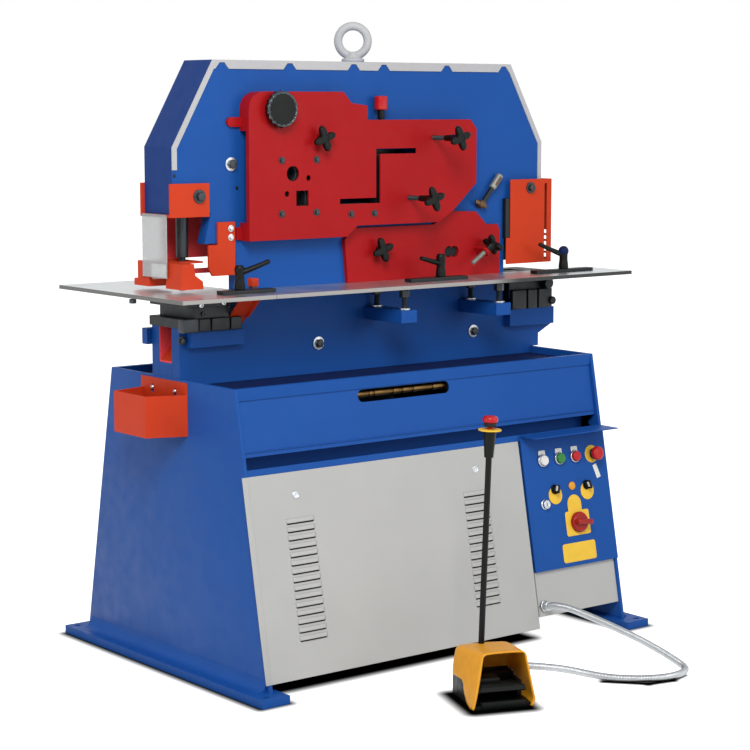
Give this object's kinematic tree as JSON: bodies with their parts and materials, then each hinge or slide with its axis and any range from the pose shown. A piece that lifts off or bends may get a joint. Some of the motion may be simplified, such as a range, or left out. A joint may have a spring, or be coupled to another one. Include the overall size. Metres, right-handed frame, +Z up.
{
  "type": "ironworker machine",
  "caption": "Hydraulic ironworker with a rocker beam between thick plates, punch, shear and notcher stations, a sloped cabinet, a control panel and a foot pedal on a hose.",
  "frame": {"origin": "on the floor, at the middle of the four anchor holes in the feet", "axes": "+Z up, +X to the right as the operator sees it, +Y to the back"},
  "size_m": [1.625, 1.46, 1.764],
  "materials": {
    "blue_paint": "gloss enamel",
    "red_paint": "gloss enamel",
    "orange_paint": "satin powder coat",
    "grey_paint": "satin powder coat",
    "light_trim": "satin powder coat",
    "ground_steel": "ground",
    "dark_steel": "blackened",
    "machine_black": "satin",
    "zinc_fasteners": "zinc plated",
    "metal_hose": "galvanised",
    "clear_plastic": "clear sheet",
    "black_plastic": "moulded",
    "yellow_plastic": "moulded",
    "red_plastic": "moulded",
    "green_plastic": "moulded",
    "white_plastic": "moulded"
  },
  "bodies": {
    "machine": {"base_sides": "blue_paint", "base_frame": "blue_paint", "cabinet_covers": "grey_paint", "control_box": "blue_paint", "power_pack": "machine_black", "frame_plates": "blue_paint", "frame_skin": "blue_paint", "edge_trim": "light_trim", "frame_spacers": "blue_paint", "lifting_eye": "light_trim", "pivot_pin": "ground_steel", "cylinder_barrel": "machine_black", "punch_table": "ground_steel", "front_table": "ground_steel", "table_brackets": "blue_paint", "die_holder": "dark_steel", "punch_die": "ground_steel", "punch_bracket": "orange_paint", "stripper": "orange_paint", "clear_guard": "clear_plastic", "gauge_plate": "orange_paint", "slug_chutes": "orange_paint", "notcher_die": "dark_steel", "guard_spacers": "dark_steel", "notcher_guard": "orange_paint", "upper_guard": "red_paint", "lower_guard": "red_paint", "shear_blades": "ground_steel", "parts_box": "orange_paint", "bolts": "zinc_fasteners", "clamp_bars": "dark_steel", "panel_plates": "yellow_plastic", "hose_gland": "zinc_fasteners", "hose": "metal_hose", "pedal_base": "black_plastic", "pedal_hood": "yellow_plastic"},
    "rocker_beam": {"rocker_beam": "dark_steel"},
    "cylinder_rod": {"cylinder_rod": "ground_steel"},
    "punch_ram": {"punch_ram": "dark_steel"},
    "notch_ram": {"notch_ram": "dark_steel"},
    "clamp_lever_left": {"clamp_lever_left": "black_plastic"},
    "clamp_lever_middle": {"clamp_lever_middle": "black_plastic"},
    "clamp_lever_right": {"clamp_lever_right": "black_plastic"},
    "star_knob_top": {"star_knob_top": "black_plastic"},
    "star_knob_upper": {"star_knob_upper": "black_plastic"},
    "star_knob_lower": {"star_knob_lower": "black_plastic"},
    "star_knob_front": {"star_knob_front": "black_plastic"},
    "star_knob_side": {"star_knob_side": "black_plastic"},
    "dial_knob": {"dial_knob": "black_plastic"},
    "index_plunger": {"index_plunger": "red_plastic"},
    "cam_lever": {"cam_lever": "zinc_fasteners"},
    "button_white": {"button_white": "white_plastic"},
    "button_green": {"button_green": "green_plastic"},
    "button_red": {"button_red": "red_plastic"},
    "panel_stop": {"panel_stop": "red_plastic"},
    "selector_left": {"selector_left": "black_plastic"},
    "selector_right": {"selector_right": "black_plastic"},
    "main_switch": {"main_switch": "red_plastic"},
    "foot_pedal": {"foot_pedal": "black_plastic"},
    "pole_stop": {"pole_stop": "red_plastic"}
  },
  "joints": [
    {"name": "beam_swing", "type": "hinge", "parent": "machine", "child": "rocker_beam", "pos_m": [-0.02, 0.024, 1.45], "axis": [0, -1, 0], "range_deg": [-2.5, 2.5]},
    {"name": "punch_slide", "type": "slide", "parent": "machine", "child": "punch_ram", "axis": [0, 0, -1], "range_m": [-0.025, 0.025]},
    {"name": "notch_slide", "type": "slide", "parent": "machine", "child": "notch_ram", "axis": [0, 0, 1], "range_m": [-0.027, 0.027]},
    {"name": "rod_slide", "type": "slide", "parent": "machine", "child": "cylinder_rod", "axis": [0, 0, 1], "range_m": [-0.012, 0.012]},
    {"name": "clamp_left_turn", "type": "hinge", "parent": "machine", "child": "clamp_lever_left", "pos_m": [-0.517, -0.15, 1.04], "axis": [0, 0, 1], "range_deg": [-60, 60]},
    {"name": "clamp_middle_turn", "type": "hinge", "parent": "machine", "child": "clamp_lever_middle", "pos_m": [0.184, -0.15, 1.04], "axis": [0, 0, 1], "range_deg": [-90, 90]},
    {"name": "clamp_right_turn", "type": "hinge", "parent": "machine", "child": "clamp_lever_right", "pos_m": [0.667, -0.15, 1.04], "axis": [0, 0, 1], "range_deg": [-90, 90]},
    {"name": "star_top_turn", "type": "hinge", "parent": "machine", "child": "star_knob_top", "pos_m": [-0.205, -0.1, 1.438], "axis": [0, -1, 0], "continuous": true},
    {"name": "star_upper_turn", "type": "hinge", "parent": "machine", "child": "star_knob_upper", "pos_m": [0.208, -0.1, 1.436], "axis": [0, -1, 0], "continuous": true},
    {"name": "star_lower_turn", "type": "hinge", "parent": "machine", "child": "star_knob_lower", "pos_m": [0.117, -0.1, 1.266], "axis": [0, -1, 0], "continuous": true},
    {"name": "star_front_turn", "type": "hinge", "parent": "machine", "child": "star_knob_front", "pos_m": [0.024, -0.07, 1.12], "axis": [0, -1, 0], "continuous": true},
    {"name": "star_side_turn", "type": "hinge", "parent": "machine", "child": "star_knob_side", "pos_m": [0.356, -0.1, 1.074], "axis": [0.8387, 0, 0.5446], "continuous": true},
    {"name": "dial_turn", "type": "hinge", "parent": "machine", "child": "dial_knob", "pos_m": [-0.345, -0.1, 1.518], "axis": [0, -1, 0], "continuous": true},
    {"name": "plunger_pull", "type": "slide", "parent": "machine", "child": "index_plunger", "axis": [0, 0, 1], "range_m": [0, 0.01], "stiffness_N_per_m": 300, "springref_m": -0.002},
    {"name": "cam_swing", "type": "hinge", "parent": "machine", "child": "cam_lever", "pos_m": [0.418, -0.0443, 1.238], "axis": [0, -1, 0], "range_deg": [0, 50]},
    {"name": "white_press", "type": "slide", "parent": "machine", "child": "button_white", "axis": [0, 0.9818, -0.19], "range_m": [0, 0.004], "stiffness_N_per_m": 400, "springref_m": -0.004},
    {"name": "green_press", "type": "slide", "parent": "machine", "child": "button_green", "axis": [0, 0.9818, -0.19], "range_m": [0, 0.004], "stiffness_N_per_m": 400, "springref_m": -0.004},
    {"name": "red_press", "type": "slide", "parent": "machine", "child": "button_red", "axis": [0, 0.9818, -0.19], "range_m": [0, 0.004], "stiffness_N_per_m": 400, "springref_m": -0.004},
    {"name": "stop_press", "type": "slide", "parent": "machine", "child": "panel_stop", "axis": [0, 0.9818, -0.19], "range_m": [0, 0.005]},
    {"name": "selector_left_turn", "type": "hinge", "parent": "machine", "child": "selector_left", "pos_m": [0.422, -0.37739, 0.424], "axis": [0, -0.9818, 0.19], "range_deg": [-45, 45]},
    {"name": "selector_right_turn", "type": "hinge", "parent": "machine", "child": "selector_right", "pos_m": [0.549, -0.37739, 0.424], "axis": [0, -0.9818, 0.19], "range_deg": [-45, 45]},
    {"name": "main_switch_turn", "type": "hinge", "parent": "machine", "child": "main_switch", "pos_m": [0.499, -0.39713, 0.322], "axis": [0, -0.9818, 0.19], "range_deg": [0, 90]},
    {"name": "pedal_press", "type": "hinge", "parent": "machine", "child": "foot_pedal", "pos_m": [-0.17357, -0.78627, 0.038], "axis": [0.9336, -0.3584, 0], "range_deg": [0, 12], "stiffness_Nm_per_rad": 8, "springref_deg": -4.58},
    {"name": "pole_stop_press", "type": "slide", "parent": "machine", "child": "pole_stop", "axis": [-0.0326, 0.0125, -0.9994], "range_m": [0, 0.005]}
  ],
  "couplings": [
    {"joint": "punch_slide", "follows": "beam_swing", "m_per_rad": 0.565},
    {"joint": "notch_slide", "follows": "beam_swing", "m_per_rad": 0.612},
    {"joint": "rod_slide", "follows": "beam_swing", "m_per_rad": 0.27}
  ]
}
